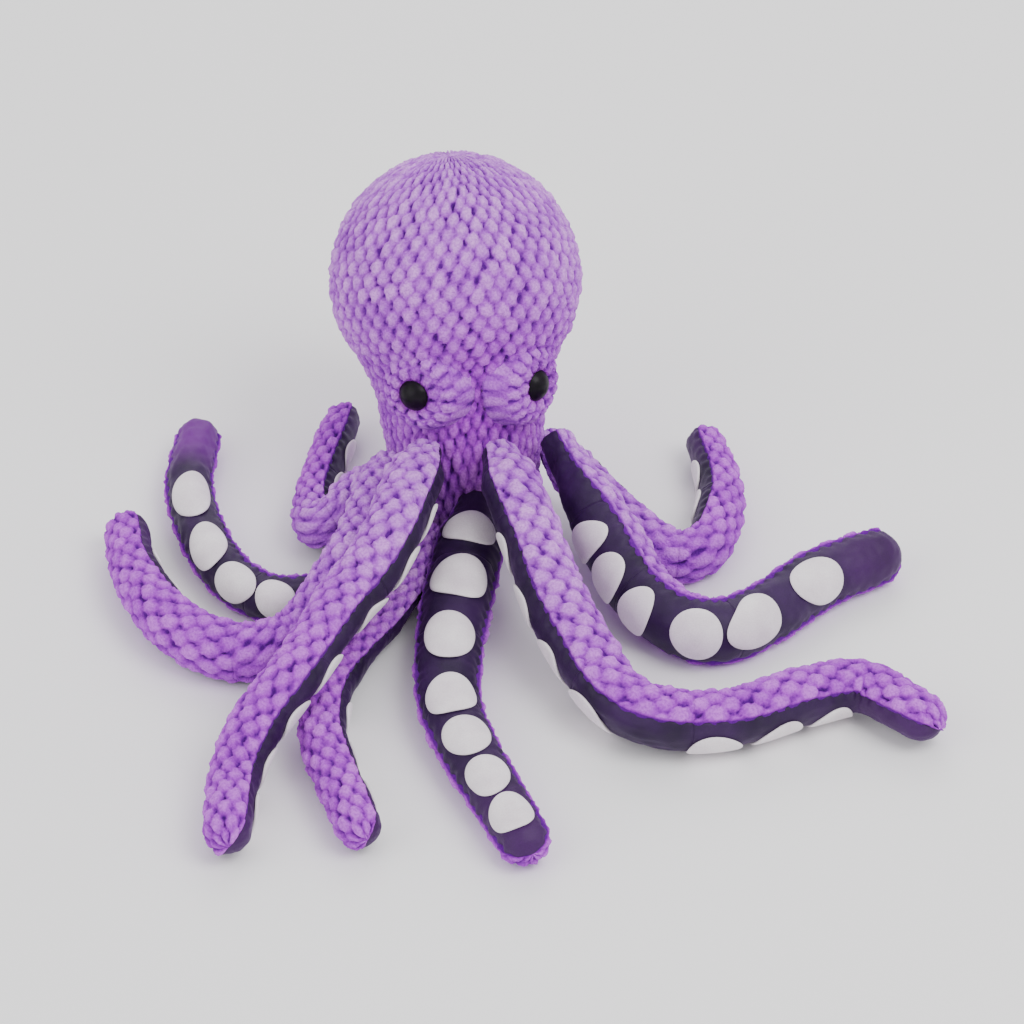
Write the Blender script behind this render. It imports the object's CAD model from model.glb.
"""Looks of the stuffed octopus: knitted head and arm covers, smooth undersides, sucker patches and eyes."""
import math

import bpy
import numpy as np
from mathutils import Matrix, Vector


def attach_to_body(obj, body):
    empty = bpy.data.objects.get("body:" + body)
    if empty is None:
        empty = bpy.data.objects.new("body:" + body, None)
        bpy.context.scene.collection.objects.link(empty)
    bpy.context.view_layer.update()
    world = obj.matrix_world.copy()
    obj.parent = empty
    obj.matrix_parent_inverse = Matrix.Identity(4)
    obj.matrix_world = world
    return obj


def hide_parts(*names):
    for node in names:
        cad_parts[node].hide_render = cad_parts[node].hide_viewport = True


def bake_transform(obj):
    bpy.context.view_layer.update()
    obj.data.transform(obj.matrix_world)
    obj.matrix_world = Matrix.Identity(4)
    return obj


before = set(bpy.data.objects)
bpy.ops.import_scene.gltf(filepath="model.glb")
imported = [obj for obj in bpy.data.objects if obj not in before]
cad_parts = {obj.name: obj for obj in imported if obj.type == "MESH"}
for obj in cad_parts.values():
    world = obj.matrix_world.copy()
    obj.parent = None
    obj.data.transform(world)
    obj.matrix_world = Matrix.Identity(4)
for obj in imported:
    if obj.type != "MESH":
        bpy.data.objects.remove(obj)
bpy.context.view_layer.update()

MM = 0.001

# ---- camera, lights and floor ----
LENS_MM = 135
CAMERA_DISTANCE = 2.0
CAMERA_ELEVATION = math.radians(36)
CAMERA_TARGET = Vector((0.024, -0.016, 0.0))
FLOOR_SIZE = 8
FLOOR_COLOUR = (0.93, 0.92, 0.93, 1)
# name, place, size in metres, power in watts
LIGHTS = [("key_light", (0.9, -0.7, 1.5), 1.0, 20),
          ("fill_light", (-1.2, -0.9, 0.9), 1.4, 10),
          ("back_light", (0.1, 1.3, 1.2), 1.2, 10)]
WORLD_STRENGTH = 1.0

# ---- the arms, as the CAD has them ----
# Each route point is x, y, z and radius in millimetres, then the way the underside looks.
# bend is where the outer part starts, in route steps, and lifts says that the inner part moves too.
# A patch is the distance of its centre before the end of the route, and half its length, in mm.
# tip_tone and gathered are given where an arm differs from TIP_TONE and GATHERED below.
ARMS = {
    "rear_left": dict(
        bend=3.6, lifts=False, tip_tone=0.9,
        patches=[(67, 20), (111, 17), (142, 12), (163, 8.5)],
        route=[
            (-36, -52, 13, 10, 0, -1, 0.2), (-46, -70, 13, 10, 0.3, -0.6, 0.8),
            (-54, -90, 13, 11, 0.2, -0.5, 0.9), (-67, -104, 13.5, 12, 0, -0.7, 0.8),
            (-84, -110, 14, 12, 0, -0.8, 0.6), (-102, -106, 14, 12, 0, -0.8, 0.6),
            (-119, -88, 14, 12, 0, -0.8, 0.6), (-134, -54, 13.5, 12, 0.1, -0.7, 0.7),
            (-144, -10, 13, 12, 0.1, -0.6, 0.8), (-142, 35, 12.5, 11, 0.1, -0.6, 0.8)]),
    "outer_left": dict(
        bend=5, lifts=False,
        patches=[(29, 12.5), (60, 12.5), (91, 12.5), (122, 12.5)],
        route=[
            (-42, -44, 40, 13, 0.8, 0, -0.6), (-45, -68, 40, 13, 0.8, 0, -0.6),
            (-50, -92, 38, 13.5, 0.8, 0, -0.6), (-57, -112, 37, 13.5, 0.6, 0, -0.8),
            (-68, -130, 28, 13.5, 0.3, 0, -1), (-83, -147, 18, 14, 0, 0.3, -1),
            (-104, -154, 15.5, 14, 0, 0.8, -0.6), (-127, -146, 15.5, 14, 0.3, 0.8, -0.5),
            (-148, -123, 15.5, 14, 0.6, 0.6, -0.4), (-164, -88, 14.5, 13, 0.9, 0.2, -0.3),
            (-171, -55, 13.5, 12, 0.9, 0, -0.3)]),
    "back_left": dict(
        bend=3.7, lifts=False,
        patches=[(29, 12.5), (60, 12.5)],
        route=[
            (-50, -24, 24, 11, 0.5, 0, -1), (-58, -38, 24, 11, 0.5, 0.3, -1),
            (-66, -52, 22, 11, 0.5, 0.6, -1), (-76, -50, 17, 11, 0.7, 0.5, -0.7),
            (-77, -25, 13, 11, 0.95, 0, -0.3), (-73, 5, 12.5, 11, 0.95, 0, -0.3),
            (-68, 32, 12, 11, 0.95, 0, -0.3), (-65, 49, 11.5, 10, 0.95, 0, -0.3)]),
    "front_left": dict(
        bend=4.5, lifts=True,
        patches=[(16, 12.5), (47, 12.5), (78, 12.5), (109, 12.5), (152, 12.5), (183, 12.5), (214, 12.5)],
        route=[
            (-22, -62, 59, 15.5, 0.7, -0.2, -0.7), (-27, -88, 60, 15.5, 0.7, -0.2, -0.7),
            (-35, -118, 57, 15.5, 0.7, -0.2, -0.7), (-45, -138, 50, 15.5, 0.7, -0.2, -0.7),
            (-56, -153, 45, 15, 0.7, -0.2, -0.7), (-68, -178, 40, 14, 0.7, -0.3, -0.7),
            (-82, -204, 34, 14, 0.7, -0.3, -0.7), (-97, -226, 24, 14, 0.7, -0.3, -0.7),
            (-105, -252, 15.5, 13, 0.8, -0.2, -0.6), (-106, -285, 14, 12, 0.8, -0.2, -0.6)]),
    "under_left": dict(
        bend=3.4, lifts=False,
        patches=[(20, 12.5), (51, 12.5), (82, 12.5)],
        route=[
            (-21, -62, 11, 9, 0.5, 0, -1), (-27, -92, 11, 9, 0.5, 0, -1),
            (-37, -122, 12, 10, 0.6, 0, -0.8), (-51, -150, 13, 11, 0.7, 0, -0.7),
            (-62, -180, 13.5, 12, 0.8, 0, -0.5), (-65, -215, 13.5, 12, 0.8, 0, -0.5),
            (-57, -247, 13, 11.5, 0.8, 0.1, -0.5), (-46, -280, 12.5, 11, 0.8, 0.2, -0.5)]),
    "front_middle": dict(
        bend=3.5, lifts=True,
        patches=[(9, 12.5), (36, 12.5), (65, 13.5), (95, 14.5), (138, 16.5), (183, 17), (222, 13)],
        route=[
            (4, -60, 26, 15, 0, -0.6, 0.8), (1, -86, 21, 17, 0, -0.6, 0.8),
            (-4, -122, 18.5, 17, 0, -0.6, 0.8), (-7, -161, 17.5, 16, 0, -0.6, 0.8),
            (-6, -195, 16.5, 15, 0.1, -0.6, 0.8), (3, -227, 15.5, 14, 0.1, -0.6, 0.8),
            (16, -259, 14.5, 13, 0, -0.6, 0.8), (29, -290, 13.5, 12, 0, -0.6, 0.8)]),
    "front_right": dict(
        bend=5.5, lifts=True,
        patches=[(50, 12.5), (81, 12.5), (112, 12.5), (168, 12.5), (200, 12.5), (232, 12.5), (264, 12.5)],
        route=[
            (20, -62, 57, 16, -0.8, -0.2, -0.6), (26, -86, 54, 16, -0.8, -0.2, -0.6),
            (34, -111, 47, 16, -0.8, -0.3, -0.6), (44, -141, 36, 17, -0.7, -0.4, -0.6),
            (57, -168, 26, 17, -0.6, -0.5, -0.6), (73, -196, 19.5, 16, -0.4, -0.6, -0.6),
            (95, -210, 17.5, 16, -0.2, -0.7, -0.7), (128, -209, 16.5, 15, 0, -0.7, -0.7),
            (163, -193, 16.5, 15, 0, -0.7, -0.7), (193, -184, 15.5, 14, 0, -0.6, -0.8),
            (218, -204, 14.5, 13, -0.6, -0.4, -0.8)]),
    "outer_right": dict(
        bend=4.1, lifts=True, gathered=45,
        patches=[(46, 16.5), (90, 14.5), (115, 9.5), (143, 9.5), (167, 10), (190, 10)],
        route=[
            (51, -42, 50, 15, -0.4, -0.9, -0.1), (62, -67, 43, 16, -0.4, -0.9, -0.1),
            (73, -88, 32, 17, -0.4, -0.9, 0), (86, -112, 22, 17, -0.4, -0.9, 0.1),
            (103, -133, 18.5, 16, -0.3, -0.9, 0.3), (126, -140, 17.5, 16, 0, -0.8, 0.5),
            (149, -125, 16.5, 15, 0, -0.8, 0.6), (178, -96, 16.5, 15, 0, -0.8, 0.6),
            (208, -76, 15.5, 14, 0, -0.8, 0.6)]),
    "back_right": dict(
        bend=5.3, lifts=False,
        patches=[(29, 12.5), (60, 12.5)],
        route=[
            (50, -12, 32, 12, 0.3, 0.9, -0.3), (62, -28, 27, 13, 0.3, 0.9, -0.3),
            (79, -50, 22, 13, 0.3, 0.9, -0.3), (95, -68, 17, 14, 0.2, 0.9, -0.3),
            (108, -74, 14.5, 13, -0.2, 0.9, -0.3), (122, -64, 14.5, 13, -0.8, 0.4, -0.3),
            (130, -32, 14.5, 13, -0.95, 0, -0.2), (130, -6, 13.5, 12, -0.95, 0, -0.2),
            (125, 25, 12.5, 11, -0.95, 0, -0.2)]),
}
FLAT = 0.86            # depth of an underside as a share of the arm's radius
TIP_TONE = 0.15        # how purple the tip of an underside is, 0 to 1
COVER_EDGE = math.radians(100)      # half the width of a cover, round from the middle of the back
COVER_ACROSS = 58      # points across a cover
HEM = 0.20             # width of the plain hem along a cover, radians
UNDERSIDE_EDGE = math.radians(86)   # half the width of an underside, round from its middle
UNDERSIDE_ACROSS = 34  # points across an underside
PUCKER_PITCH = 7.5     # spacing of the puckers along a seam, mm
PATCH_ANGLE = 52       # half the width of a patch, degrees round the underside
PATCH_TURNS = 44       # points round a patch
# A patch from its middle out: the share of its half width, and the height before it is sunk, in mm.
PATCH_PROFILE = [(0.02, 1.35), (0.3, 1.3), (0.55, 1.25), (0.78, 1.15),
                 (0.91, 0.95), (0.98, 0.6), (1.0, 0.2), (0.98, -0.5)]
PATCH_SINK = 0.1       # depth by which a patch is sunk into the underside, mm
ROOT_TUCK = 15         # length of an arm's skin that runs on before its root, mm
GATHERED = 12          # distance from the root to where the skin has its full width, mm
ROOT_SHARE = 0.6       # width of the skin at its start as a share of its full width
TIP_GAP = 0.4          # length left out at the very tip, which a cap closes, mm
BEND_ZONE = 28         # half the length of skin that bends with a joint, mm
BEND_REACH = 18        # distance from a joint to where the skin stops turning, mm
ROOT_ZONE = 36         # length of skin at the root that bends with the lift joint, mm

# ---- knit ----
ARM_COLUMNS = 5        # stitches across an arm's cover
ARM_ROW = 7.6          # spacing of the rows on an arm, mm
HEAD_COLUMNS = 44      # stitches round the head
HEAD_ROW = 7.2         # spacing of the rows on the head, mm
PUFF = 4.2             # height of a stitch, mm
FUZZ = 0.10            # random roughness of the pile, mm
TUFT = 0.20            # random height of the tufts of the pile, mm
FINE = 1.0             # mesh spacing along an arm, mm
FEWEST_ROWS = 12       # rows of points on the shortest stretch of an arm

# ---- head, in mm ----
HEAD_R = 63.5          # radius of the ball of the head
HEAD_H = 94.5          # distance from the foot of the neck to the ball's centre
NECK_FOOT = np.array([0.0, -9.0, 30.0])
NECK_TOP = 94          # length up the middle line where the neck meets the ball
LEAN_BACK = math.radians(21)
LEAN_SIDE = math.radians(3)
COLUMN_R = 35.0        # radius of the short column under the neck
# Lengths up the middle line and the radii there, from the floor to the neck's top.
NECK_HEIGHTS = [0, 4, 26, 44, 56, 70, 82, NECK_TOP]
NECK_RADII = [COLUMN_R - 3, COLUMN_R, 37, 40.5, 42, 44.5, 48.5, 55]
PROFILE_BLUR = 25      # points over which the profile is smoothed
HEAD_ROWS = 235
HEAD_ACROSS = 400
CHEVRON = 26           # drop of the rows from the front of the head round to its back
FACE_AZIMUTH = math.radians(-75)   # the way the face looks, from +X
FACE = np.array([6.0, -34.0, 82.0])
FACE_REACH = 58        # distance from FACE over which its deeper colour fades
# Radius and height of each ring of the base panel, from the middle of its underside round to its top.
PANEL_PROFILE = [(0.5, 0.4), (12, 0.3), (24, 0.25), (31, 0.0), (33.5, 0.1),
                 (34.5, 0.8), (34.5, 2), (33, 2.8), (15, 3), (0.5, 3)]
PANEL_TURNS = 72
# Place of each eye, and the angles of eye_frame in degrees.
EYES = {"left": ((-22.3, -31.2, 86.7), (80, -27)), "right": ((31.4, -20.6, 84.4), (82, 54))}
EYE_RING_R = 24.5
EYE_RING_SHIFT = {"left": (2.5, 2.5), "right": (-2.5, 1.5)}  # of its rim from the eye
# Distances from the eye, and the height of the ring there.
EYE_RING_REACHES = [0, 7, 9, 13, 17, 21, EYE_RING_R]
EYE_RING_HEIGHTS = [5.6, 5.8, 7.2, 8.8, 8.4, 4.5, -8.0]
PETAL_SPLIT = 14.5     # distance from the eye where the outer petals start
PETAL_LIFT = 3.2       # height of a petal


def make_camera():
    data = bpy.data.cameras.new("camera")
    data.lens = LENS_MM
    data.sensor_width = 36
    data.clip_end = 20
    camera = bpy.data.objects.new("camera", data)
    back = Vector((0, -math.cos(CAMERA_ELEVATION), math.sin(CAMERA_ELEVATION)))
    camera.location = CAMERA_TARGET + back * CAMERA_DISTANCE
    camera.rotation_euler = back.to_track_quat("Z", "Y").to_euler()
    bpy.context.scene.collection.objects.link(camera)
    bpy.context.scene.camera = camera


def make_lights():
    for name, place, size, power in LIGHTS:
        data = bpy.data.lights.new(name, "AREA")
        data.size = size
        data.energy = power
        light = bpy.data.objects.new(name, data)
        light.location = place
        light.rotation_euler = Vector(place).to_track_quat("Z", "Y").to_euler()
        bpy.context.scene.collection.objects.link(light)
    world = bpy.data.worlds.new("studio")
    world.use_nodes = True
    world.node_tree.nodes["Background"].inputs["Color"].default_value = (1, 1, 1, 1)
    world.node_tree.nodes["Background"].inputs["Strength"].default_value = WORLD_STRENGTH
    bpy.context.scene.world = world


def make_floor():
    bpy.ops.mesh.primitive_plane_add(size=FLOOR_SIZE)
    floor = bpy.context.object
    floor.name = "floor"
    material, shader, _ = new_material("floor_white", roughness=0.9)
    shader.inputs["Base Color"].default_value = FLOOR_COLOUR
    floor.data.materials.append(material)


# ---- materials ----
def new_material(name, **values):
    """A node material: its Principled inputs take the values, with _ for a space in their names."""
    material = bpy.data.materials.new(name)
    material.use_nodes = True
    shader = material.node_tree.nodes["Principled BSDF"]
    for key, value in values.items():
        shader.inputs[key.replace("_", " ").title().replace("Ior", "IOR")].default_value = value
    return material, shader, material.node_tree


def add_node(tree, kind, **values):
    made = tree.nodes.new(kind)
    for key, value in values.items():
        if key in made.inputs:
            made.inputs[key].default_value = value
        else:
            setattr(made, key, value)
    return made


def noise(tree, scale, detail=3):
    coordinates = tree.nodes.new("ShaderNodeTexCoord")
    made = add_node(tree, "ShaderNodeTexNoise", Scale=scale, Detail=detail)
    tree.links.new(coordinates.outputs["Object"], made.inputs["Vector"])
    return made.outputs["Fac"]


def ramp(tree, source, stops):
    made = tree.nodes.new("ShaderNodeValToRGB")
    elements = made.color_ramp.elements
    for _ in stops[2:]:
        elements.new(0.5)
    for index, (at, colour) in enumerate(stops):
        elements[index].position = at
        elements[index].color = (*colour, 1)
    tree.links.new(source, made.inputs["Fac"])
    return made.outputs["Color"]


def mix_colour(tree, factor, a, b, blend="MIX"):
    factor_input, a_input, b_input = 0, 6, 7
    made = tree.nodes.new("ShaderNodeMix")
    made.data_type = "RGBA"
    made.blend_type = blend
    for source, index in ((factor, factor_input), (a, a_input), (b, b_input)):
        if isinstance(source, bpy.types.NodeSocket):
            tree.links.new(source, made.inputs[index])
        else:
            made.inputs[index].default_value = source
    return made.outputs[2]


def attribute(tree, name):
    return add_node(tree, "ShaderNodeAttribute", attribute_name=name).outputs["Fac"]


def bump(tree, shader, source, strength, distance):
    made = add_node(tree, "ShaderNodeBump", Strength=strength, Distance=distance)
    tree.links.new(source, made.inputs["Height"])
    tree.links.new(made.outputs["Normal"], shader.inputs["Normal"])


def knit_material():
    """Chenille yarn: pale puffs, deep purple between them, with a speckled pile and a sheen."""
    material, shader, tree = new_material("lilac_chenille", roughness=0.95, sheen_weight=0.06,
                                          sheen_roughness=0.5, specular_ior_level=0.05)
    shader.inputs["Sheen Tint"].default_value = (0.85, 0.6, 1.0, 1)
    puff = attribute(tree, "puff")
    pale = ramp(tree, puff, [(0.35, (0.17, 0.01, 0.34)),
                             (0.66, (0.56, 0.14, 0.80)),
                             (0.9, (0.80, 0.36, 0.95))])
    deep = ramp(tree, puff, [(0.35, (0.13, 0.002, 0.28)),
                             (0.66, (0.43, 0.02, 0.66)),
                             (0.9, (0.62, 0.08, 0.84))])
    colour = mix_colour(tree, attribute(tree, "tone"), pale, deep)
    speckle = ramp(tree, noise(tree, 800, 4), [(0.36, (0.66, 0.50, 0.74)), (0.60, (1.0, 1.0, 1.0))])
    colour = mix_colour(tree, 0.75, colour, speckle, "MULTIPLY")
    patchy = ramp(tree, noise(tree, 60, 2), [(0.35, (0.86, 0.80, 0.90)), (0.65, (1.0, 1.0, 1.0))])
    colour = mix_colour(tree, 0.7, colour, patchy, "MULTIPLY")
    tree.links.new(colour, shader.inputs["Base Color"])
    bump(tree, shader, noise(tree, 1100, 4), 0.9, 0.0012)
    return material


def satin_material():
    """Smooth dark purple jersey: soft gloss, fine weave and faint cloudy wear."""
    material, shader, tree = new_material("dark_jersey", roughness=0.55, sheen_weight=0.1,
                                          sheen_roughness=0.4, specular_ior_level=0.3)
    shader.inputs["Sheen Tint"].default_value = (0.5, 0.2, 0.8, 1)
    colour = ramp(tree, noise(tree, 45, 4), [(0.3, (0.010, 0.002, 0.024)), (0.7, (0.034, 0.007, 0.066))])
    tip = mix_colour(tree, attribute(tree, "tone"), colour, (0.16, 0.008, 0.26, 1))
    weave = ramp(tree, noise(tree, 1600, 2), [(0.3, (0.75, 0.75, 0.75)), (0.7, (1.0, 1.0, 1.0))])
    tree.links.new(mix_colour(tree, 0.8, tip, weave, "MULTIPLY"), shader.inputs["Base Color"])
    bump(tree, shader, noise(tree, 1500, 2), 0.35, 0.0004)
    return material


def felt_material():
    """Off-white patch cloth with a pinkish cast and a short nap."""
    material, shader, tree = new_material("white_felt", roughness=0.85, sheen_weight=0.2,
                                          specular_ior_level=0.15)
    colour = ramp(tree, noise(tree, 70, 3), [(0.3, (0.76, 0.68, 0.74)), (0.7, (0.90, 0.85, 0.88))])
    nap = ramp(tree, noise(tree, 1400, 3), [(0.3, (0.86, 0.84, 0.86)), (0.7, (1.0, 1.0, 1.0))])
    tree.links.new(mix_colour(tree, 0.8, colour, nap, "MULTIPLY"), shader.inputs["Base Color"])
    bump(tree, shader, noise(tree, 1300, 3), 0.3, 0.0004)
    return material


def eye_material():
    """Black plastic with a low, soft gloss."""
    material, shader, tree = new_material("black_eye_gloss", roughness=0.35, specular_ior_level=0.12,
                                          coat_weight=0.05, coat_roughness=0.2)
    colour = ramp(tree, noise(tree, 220, 2), [(0.3, (0.003, 0.002, 0.004)), (0.7, (0.009, 0.006, 0.011))])
    tree.links.new(colour, shader.inputs["Base Color"])
    return material


def washer_material():
    """Plain grey plastic for the lock washers inside the head."""
    material, shader, tree = new_material("washer_grey", roughness=0.5)
    colour = ramp(tree, noise(tree, 300, 2), [(0.3, (0.14, 0.14, 0.15)), (0.7, (0.2, 0.2, 0.21))])
    tree.links.new(colour, shader.inputs["Base Color"])
    return material


# ---- mesh helpers ----
def grid_object(name, rows, material, point_values=None):
    """A closed mesh of rows of points in mm: each row is a loop, and the first and last are capped."""
    count, across = rows.shape[:2]
    at = np.arange(count * across).reshape(count, across)
    after = np.roll(at, -1, axis=1)
    quads = np.stack([at[:-1], after[:-1], after[1:], at[1:]], axis=-1).reshape(-1, 4)
    faces = quads.tolist() + [at[0, ::-1].tolist(), at[-1].tolist()]
    mesh = bpy.data.meshes.new(name)
    mesh.from_pydata((rows.reshape(-1, 3) * MM).tolist(), [], faces)
    for key, values in (point_values or {}).items():
        layer = mesh.attributes.new(key, "FLOAT", "POINT")
        layer.data.foreach_set("value", values.reshape(-1).astype(np.float32))
    mesh.polygons.foreach_set("use_smooth", [True] * len(mesh.polygons))
    mesh.materials.append(material)
    made = bpy.data.objects.new(name, mesh)
    bpy.context.scene.collection.objects.link(made)
    return made


def normals(points):
    """Unit normals of a grid of points. The order of its rows and columns sets which side they are on."""
    n = np.cross(np.gradient(points, axis=1), np.gradient(points, axis=0))
    return n / np.maximum(np.linalg.norm(n, axis=-1, keepdims=True), 1e-9)


def puffs(x, y, seed, columns=None):
    """Height, about 0 to 1, of round stitches laid like bricks: a column per unit of x, a row per unit of y.

    columns is the number of columns after which the pattern repeats.
    """
    table = np.random.default_rng(seed).uniform(-1, 1, (211, 97, 3))
    sway = 0.05 * np.sin(x * 7.1 + y * 4.3 + seed) + 0.04 * np.sin(x * 13.7 - y * 9.1)
    x, y = x + sway, y + 0.06 * np.sin(x * 5.3 - y * 6.7 + seed) + 0.05 * np.sin(x * 11.9 + y * 12.7)
    height = np.zeros(np.broadcast(x, y).shape)
    for row_step in (-1, 0, 1):
        row = np.floor(y).astype(int) + row_step
        shift = 0.5 * (row % 2)
        for column_step in (-1, 0, 1):
            column = np.floor(x - shift).astype(int) + column_step
            key = column % columns if columns else column
            jitter = table[row % 211, key % 97]
            dx = (x - column - 0.5 - shift - 0.06 * jitter[..., 0]) / 0.52
            dy = (y - row - 0.5 - 0.08 * jitter[..., 1]) / 0.80
            dome = np.maximum(1 - dx * dx - dy * dy, 0) ** 0.45 * (0.90 + 0.12 * jitter[..., 2])
            height = np.maximum(height, dome)
    return height


def waves(a, b, seed, size):
    """Soft seeded unevenness, about -1 to 1, over two coordinates in mm."""
    draw = np.random.default_rng(seed)
    total = 0
    for _ in range(7):
        turn, pitch, phase = draw.uniform(0, math.pi), draw.uniform(0.7, 1.6), draw.uniform(0, 2 * math.pi)
        total = total + np.sin((a * math.cos(turn) + b * math.sin(turn)) * 2 * math.pi * pitch / size + phase)
    return np.tanh(total / 2.6)


def fluff(shape, seed):
    """Seeded roughness of the pile, in mm: single points, and tufts a few points wide."""
    draw = np.random.default_rng(seed).normal(0, 1, shape)
    tufts = sum(np.roll(np.roll(draw, i, 0), j, 1) for i in (-1, 0, 1) for j in (-1, 0, 1)) / 3
    return FUZZ * draw + TUFT * tufts


def smoothstep(low, high, value):
    """0 at low rising smoothly to 1 at high, which may be the lower number of the two."""
    t = np.clip((value - low) / (high - low), 0, 1)
    return t * t * (3 - 2 * t)


# ---- arms ----
class Arm:
    """The smooth route of one arm, measured in mm along it. It runs on straight before its root."""

    def __init__(self, route, tip_tone, gathered):
        self.route = np.array(route, float)
        self.tip_tone = tip_tone
        self.gathered = gathered
        self.steps = np.linspace(0, len(route) - 1, 600)
        points = self.rows(self.steps)[:, :3]
        self.lengths = np.r_[0, np.cumsum(np.linalg.norm(np.diff(points, axis=0), axis=1))]
        self.length = self.lengths[-1]
        self.tip_r = self.route[-1, 3]
        self.end = self.length + self.tip_r * math.pi / 2

    def rows(self, u):
        """Smooth rows of the route at the steps u, by a Catmull-Rom spline."""
        last = len(self.route) - 1
        i = np.clip(np.floor(u).astype(int), 0, last - 1)
        before, after = 2 * self.route[0] - self.route[1], 2 * self.route[-1] - self.route[-2]
        padded = np.vstack([before, self.route, after])
        a, b, c, d = (padded[i + k] for k in range(4))
        t = (u - i)[:, None]
        return (2 * b + (c - a) * t + (2 * a - 5 * b + 4 * c - d) * t**2 + (3 * b - a - 3 * c + d) * t**3) / 2

    def at_step(self, u):
        """Length along the arm, in mm, of the route step u."""
        return float(np.interp(u, self.steps, self.lengths))

    def rings(self, s):
        """Centres, headings, underside directions, side directions and radii at the lengths s."""
        on_route = np.clip(s, 0, self.length)
        u = np.interp(on_route, self.lengths, self.steps)
        rows = self.rows(u)
        ahead, behind = self.rows(np.minimum(u + 0.03, self.steps[-1])), self.rows(np.maximum(u - 0.03, 0))
        heading = ahead[:, :3] - behind[:, :3]
        heading /= np.linalg.norm(heading, axis=1, keepdims=True)
        under = rows[:, 4:] - (rows[:, 4:] * heading).sum(1, keepdims=True) * heading
        under /= np.linalg.norm(under, axis=1, keepdims=True)
        turn = np.clip((s - self.length) / (self.end - self.length), 0, 1) * math.pi / 2
        run_on = np.where(s < 0, s, self.tip_r * np.sin(turn))
        centre = rows[:, :3] + heading * run_on[:, None]
        gather = ROOT_SHARE + (1 - ROOT_SHARE) * smoothstep(-ROOT_TUCK, self.gathered, s)
        return centre, heading, under, np.cross(heading, under), rows[:, 3] * np.cos(turn) * gather

    def surface(self, s, angle):
        """Points at the lengths s and angles round from the middle of the underside, on the bare tube."""
        centre, _, under, side, r = self.rings(s)
        depth = np.where(np.cos(angle) > 0, FLAT, 1.0)
        return (centre[:, None] + under[:, None] * (r[:, None] * depth * np.cos(angle))[..., None]
                + side[:, None] * (r[:, None] * np.sin(angle))[..., None])


def edge_distance(s):
    """Distance of each length from the nearer end of its stretch, so that stretches meet cleanly."""
    return np.minimum(s - s[0], s[-1] - s)


def cover_zone(arm, seed, s):
    """The knitted half of the tube at the lengths s: closed rows of points, puff and tone."""
    turn = np.linspace(-COVER_EDGE, COVER_EDGE, COVER_ACROSS)
    angle = np.broadcast_to(math.pi - turn, (len(s), COVER_ACROSS))
    base = arm.surface(s, angle)
    x = (turn / (2 * COVER_EDGE) + 0.5)[None, :] * ARM_COLUMNS
    y = (s / ARM_ROW)[:, None]
    height = puffs(x, y, seed)
    hem = smoothstep(COVER_EDGE, COVER_EDGE - HEM, np.abs(turn))[None, :]
    end = smoothstep(0, 0.35, np.cos(np.clip((s - arm.length) / arm.tip_r, 0, math.pi / 2)))[:, None]
    lift = (PUFF * (height - 0.55) * hem - 1.0 * (1 - hem)) * end
    # s starts below 0 at a root, and a seed may not be negative
    pile = fluff(lift.shape, seed + int(s[0] + 100))
    lift = lift + pile * hem * end * smoothstep(0, 3, edge_distance(s))[:, None]
    outer = base - normals(base) * lift[..., None]
    inside = np.linspace(outer[:, -1], outer[:, 0], 5)[1:-1].transpose(1, 0, 2)
    rows = np.concatenate([outer, inside], axis=1)
    tone = 0.12 + 0.62 * smoothstep(0.12, 0.6, s / arm.length)
    tone = np.broadcast_to(tone[:, None], rows.shape[:2])
    puff = np.concatenate([height * hem, np.zeros((len(s), 3))], axis=1)
    return rows, dict(puff=puff, tone=tone)


def underside_zone(arm, seed, s):
    """The smooth half of the tube at the lengths s, with soft wrinkles and a puckered seam."""
    turn = np.linspace(-UNDERSIDE_EDGE, UNDERSIDE_EDGE, UNDERSIDE_ACROSS)
    angle = np.broadcast_to(turn, (len(s), UNDERSIDE_ACROSS))
    base = arm.surface(s, angle)
    along, around = s[:, None], angle * 16
    wrinkle = 0.45 * waves(along, around, seed, 26) + 0.2 * waves(along, around, seed + 1, 9)
    pucker = 0.5 * smoothstep(0.9, 1.45, np.abs(angle)) * np.sin(s * 2 * math.pi / PUCKER_PITCH)[:, None]
    end = np.cos(np.clip((s - arm.length) / arm.tip_r, 0, math.pi / 2))[:, None]
    lift = (wrinkle + pucker - 0.75) * end
    outer = base + normals(base) * lift[..., None]
    inside = np.linspace(outer[:, -1], outer[:, 0], 5)[1:-1].transpose(1, 0, 2)
    tone = smoothstep(0.82, 0.95, s / arm.length) * arm.tip_tone
    rows = np.concatenate([outer, inside], axis=1)
    return rows, dict(tone=np.broadcast_to(tone[:, None], rows.shape[:2]))


def patch_points(arm, centre_s, half, seed):
    """Rows of an oval patch that hugs the underside: rings from its middle out, then under its rim."""
    turns = np.linspace(0, 2 * math.pi, PATCH_TURNS, endpoint=False)
    draw = np.random.default_rng(seed)
    outline = 1 + 0.05 * np.cos(2 * turns + draw.uniform(0, 6))
    outline = outline + 0.04 * np.cos(3 * turns + draw.uniform(0, 6))
    rows = []
    for reach, lift in PATCH_PROFILE:
        s = centre_s + half * reach * outline * np.sin(turns)
        angle = math.radians(PATCH_ANGLE) * reach * outline * np.cos(turns)
        centre, _, under, side, r = arm.rings(s)
        r = r + lift - PATCH_SINK
        down, out = r * FLAT * np.cos(angle), r * np.sin(angle)
        rows.append(centre + under * down[:, None] + side * out[:, None])
    return np.array(rows)


def joined(name, parts):
    """One object from several."""
    with bpy.context.temp_override(active_object=parts[0], selected_editable_objects=parts):
        bpy.ops.object.join()
    parts[0].name = name
    return parts[0]


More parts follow.
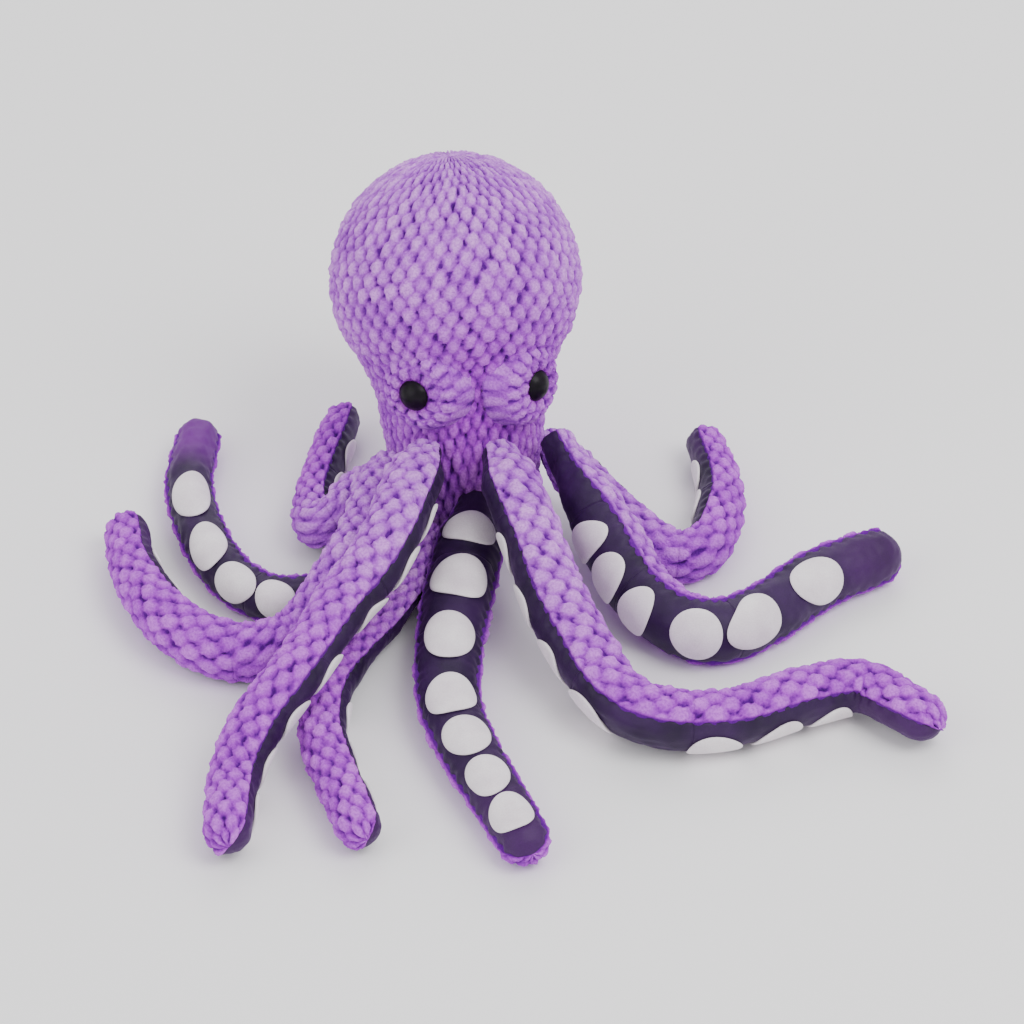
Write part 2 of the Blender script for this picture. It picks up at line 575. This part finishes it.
def arm_zones(name, arm, spec):
    """Stretches of skin: name, start, end, bodies and the lengths that it turns between, or None."""
    bend = arm.at_step(spec["bend"])
    inner = f"{name}_inner" if spec["lifts"] else "head"
    outer = f"{name}_outer"
    low, high = bend - BEND_ZONE, bend + BEND_ZONE
    zones = []
    start = -ROOT_TUCK
    if spec["lifts"]:
        zones.append(("root", start, ROOT_ZONE, ("head", inner), (-8, ROOT_ZONE - 12)))
        start = ROOT_ZONE
    if low > start:
        zones.append(("inner", start, low, (inner,), None))
    zones.append(("bend", max(low, start), high, (inner, outer), (bend - BEND_REACH, bend + BEND_REACH)))
    zones.append(("outer", high, arm.end, (outer,), None))
    return zones


def attach(piece, arm, bodies, turning):
    """Fixes a piece to its one body, or blends it between its two bodies."""
    if turning is None:
        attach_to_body(piece, bodies[0])
        return
    centre = arm.rings(np.array(turning, float))[0] * MM
    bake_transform(piece)


def replaced(name, kind, zone):
    """The CAD node that a stretch stands for, in a list, which is empty where the arm has no such node."""
    side = "outer" if zone == "outer" else "inner"
    node = f"{name}_{side}_{kind}"
    return [node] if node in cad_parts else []


def make_arm(name, spec, seed, knit, satin, felt):
    """One arm: the cover, underside and patches of each of its stretches."""
    arm = Arm(spec["route"], spec.get("tip_tone", TIP_TONE), spec.get("gathered", GATHERED))
    patches = [(arm.length - back, half) for back, half in spec["patches"]]
    for zone, start, stop, bodies, turning in arm_zones(name, arm, spec):
        last = stop - (TIP_GAP if zone == "outer" else 0)
        s = np.linspace(start, last, max(FEWEST_ROWS, int((stop - start) / FINE)))
        for kind, build, material, slot in (("cover", cover_zone, knit, "lilac_knit"),
                                            ("underside", underside_zone, satin, "satin")):
            rows, values = build(arm, seed, s)
            piece = grid_object(f"{name}_{zone}_{kind}_skin", rows, material, point_values=values)
            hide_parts(*replaced(name, kind, zone))
            attach(piece, arm, bodies, turning)
        here = [patch for patch in patches if start <= patch[0] < stop]
        if here:
            parts = []
            for k, patch in enumerate(here):
                points = patch_points(arm, *patch, seed + k)
                parts.append(grid_object(f"{name}_patch_{k}", points, felt))
            piece = joined(f"{name}_{zone}_patches", parts)
            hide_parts(*replaced(name, "suckers", zone))
            attach(piece, arm, bodies, turning)


# ---- head ----
def head_rings(s):
    """Centres, axes and radii of the head's rings at the lengths s, in mm up its middle line."""
    lean = np.array([-math.sin(LEAN_SIDE), math.sin(LEAN_BACK), math.cos(LEAN_BACK)])
    lean /= np.linalg.norm(lean)
    tilt = smoothstep(12, 52, s)[:, None]
    h = s - NECK_FOOT[2]
    upright = np.stack([0 * s, 0 * s + NECK_FOOT[1], s], axis=1)
    leaning = NECK_FOOT + lean * h[:, None]
    centre = upright * (1 - tilt) + leaning * tilt
    axis = np.array([0, 0, 1.0]) * (1 - tilt) + lean * tilt
    axis /= np.linalg.norm(axis, axis=1, keepdims=True)
    ball = np.sqrt(np.maximum(HEAD_R**2 - (h - HEAD_H) ** 2, 0))
    neck = np.interp(s, NECK_HEIGHTS, NECK_RADII)
    radius = np.where(s > NECK_TOP, ball, neck)
    return centre, axis, radius


def head_surface(rows, columns):
    """The head's bare surface, evenly spaced up its profile, with each row's length up it and each turn."""
    ball_centre = NECK_FOOT[2] + HEAD_H
    top = ball_centre + HEAD_R
    on_ball = ball_centre + HEAD_R * np.sin(np.linspace(-0.5, math.pi / 2, 400))
    fine = np.unique(np.clip(np.r_[np.linspace(0, NECK_TOP, 200), on_ball], 0, top))
    _, _, radius = head_rings(fine)
    kernel = np.hanning(PROFILE_BLUR) / np.hanning(PROFILE_BLUR).sum()
    smooth = np.convolve(np.pad(radius, PROFILE_BLUR // 2, mode="edge"), kernel, mode="valid")
    smooth = np.where(fine > top - 25, radius, smooth)
    up = np.r_[0, np.cumsum(np.hypot(np.diff(fine), np.diff(smooth)))]
    length = np.linspace(0, up[-1], rows)
    s = np.interp(length, up, fine)
    centre, axis, _ = head_rings(s)
    radius = np.interp(length, up, smooth)
    turn = FACE_AZIMUTH + np.linspace(-math.pi, math.pi, columns, endpoint=False)
    ahead = np.array([1.0, 0, 0]) - axis[:, :1] * axis
    ahead /= np.linalg.norm(ahead, axis=1, keepdims=True)
    across = np.cross(axis, ahead)
    radial = ahead[:, None] * np.cos(turn)[None, :, None] + across[:, None] * np.sin(turn)[None, :, None]
    return centre[:, None] + radial * radius[:, None, None], length, turn - FACE_AZIMUTH


def make_head(knit):
    """The knitted head, neck and column. Its rows drop away from the face in a chevron, up to the crown."""
    points, length, turn = head_surface(HEAD_ROWS, HEAD_ACROSS)
    x = ((turn / (2 * math.pi) + 0.5) * HEAD_COLUMNS)[None, :]
    chevron = CHEVRON * np.abs(np.sin(np.clip(turn / 1.6, -math.pi / 2, math.pi / 2)))[None, :]
    crown = smoothstep(length[-1], length[-1] - 60, length)[:, None]
    y = (length[:, None] + chevron * crown) / HEAD_ROW
    height = puffs(x, y, 11, HEAD_COLUMNS)
    wrapped = np.concatenate([points[:, -1:], points, points[:, :1]], axis=1)
    out = normals(wrapped)[:, 1:-1]
    sample = 100  # a row well away from both ends, to tell which way is out
    out *= np.sign((out[sample] * (points[sample] - points[sample].mean(0))).sum())
    fade = smoothstep(length[-1] + 1, length[-1] - 14, length)[:, None] * smoothstep(-1, 5, length)[:, None]
    lift = (PUFF * (height - 0.6) + fluff(height.shape, 5)) * fade
    points = points + out * lift[..., None]
    face = np.exp(-(np.linalg.norm(points - FACE, axis=-1) / FACE_REACH) ** 2)
    tone = np.clip(0.9 * face + 0.05, 0, 1)
    head = grid_object("head_knit", points, knit, point_values=dict(puff=height, tone=tone))
    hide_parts("head_cover", "head_stuffing")
    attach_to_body(head, "head")


def make_base_panel(satin):
    """The round cloth panel that the toy stands on."""
    turns = np.linspace(0, 2 * math.pi, PANEL_TURNS, endpoint=False)
    rings = []
    for r, z in PANEL_PROFILE:
        rings.append(np.stack([r * np.cos(turns), NECK_FOOT[1] + r * np.sin(turns), z + 0 * turns], axis=1))
    panel = grid_object("base_cloth", np.array(rings), satin)
    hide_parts("base_panel")
    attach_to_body(panel, "head")


def eye_frame(angles):
    """Axes of an eye as rows: across, up the face and out of the head."""
    tip, spin = (math.radians(a) for a in angles)
    out = np.array([math.sin(tip) * math.sin(spin), -math.sin(tip) * math.cos(spin), math.cos(tip)])
    across = np.array([math.cos(spin), math.sin(spin), 0.0])
    return across, np.cross(out, across), out


def make_eye_ring(side, place, angles, knit):
    """A padded ring of puffy petals round an eye, set a little towards the middle of the face."""
    across, up, out = eye_frame(angles)
    reach = np.linspace(0.3, EYE_RING_R, 64)
    turn = np.linspace(0, 2 * math.pi, 160, endpoint=False)
    shift = np.outer(smoothstep(7, 18, reach), EYE_RING_SHIFT[side])
    base = np.interp(reach, EYE_RING_REACHES, EYE_RING_HEIGHTS)
    outer = puffs((turn / (2 * math.pi) * 16)[None, :], ((reach - PETAL_SPLIT) / 6.5)[:, None], 31, 16)
    inner = puffs((turn / (2 * math.pi) * 10)[None, :], ((reach - 7.5) / 7.0)[:, None], 37, 10)
    height = np.where(reach[:, None] < PETAL_SPLIT, inner, outer)
    lift = base[:, None] + PETAL_LIFT * (height - 0.6) * smoothstep(6.5, 9.5, reach)[:, None]
    lift = lift + fluff(lift.shape, 41)
    points = (place + across * (reach[:, None] * np.cos(turn) + shift[:, :1])[..., None]
              + up * (reach[:, None] * np.sin(turn) + shift[:, 1:])[..., None]
              + out * lift[..., None])
    tone = np.full(height.shape, 0.45) + 0.4 * smoothstep(12, 7, reach)[:, None]
    values = dict(puff=height, tone=tone)
    ring = grid_object(f"{side}_eye_petals", points, knit, point_values=values)
    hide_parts(f"{side}_eye_ring")
    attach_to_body(ring, "head")


def colour_node(node, material):
    """Gives a CAD node that is shown as it is its material."""
    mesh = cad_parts[node].data
    mesh.materials.clear()
    mesh.materials.append(material)


def make_eyes(knit, eye_black, washer_grey):
    """The padded eye rings, and the materials of the eyes and their washers."""
    for side, (place, angles) in EYES.items():
        make_eye_ring(side, np.array(place, float), angles, knit)
        colour_node(f"{side}_eye", eye_black)
    colour_node("eye_washers", washer_grey)


make_camera()
make_lights()
make_floor()
knit_cloth = knit_material()
dark_cloth = satin_material()
white_cloth = felt_material()
black_plastic = eye_material()
grey_plastic = washer_material()
make_head(knit_cloth)
make_base_panel(dark_cloth)
make_eyes(knit_cloth, black_plastic, grey_plastic)
for order, (arm_name, arm_spec) in enumerate(ARMS.items()):
    make_arm(arm_name, arm_spec, 100 + 10 * order, knit_cloth, dark_cloth, white_cloth)
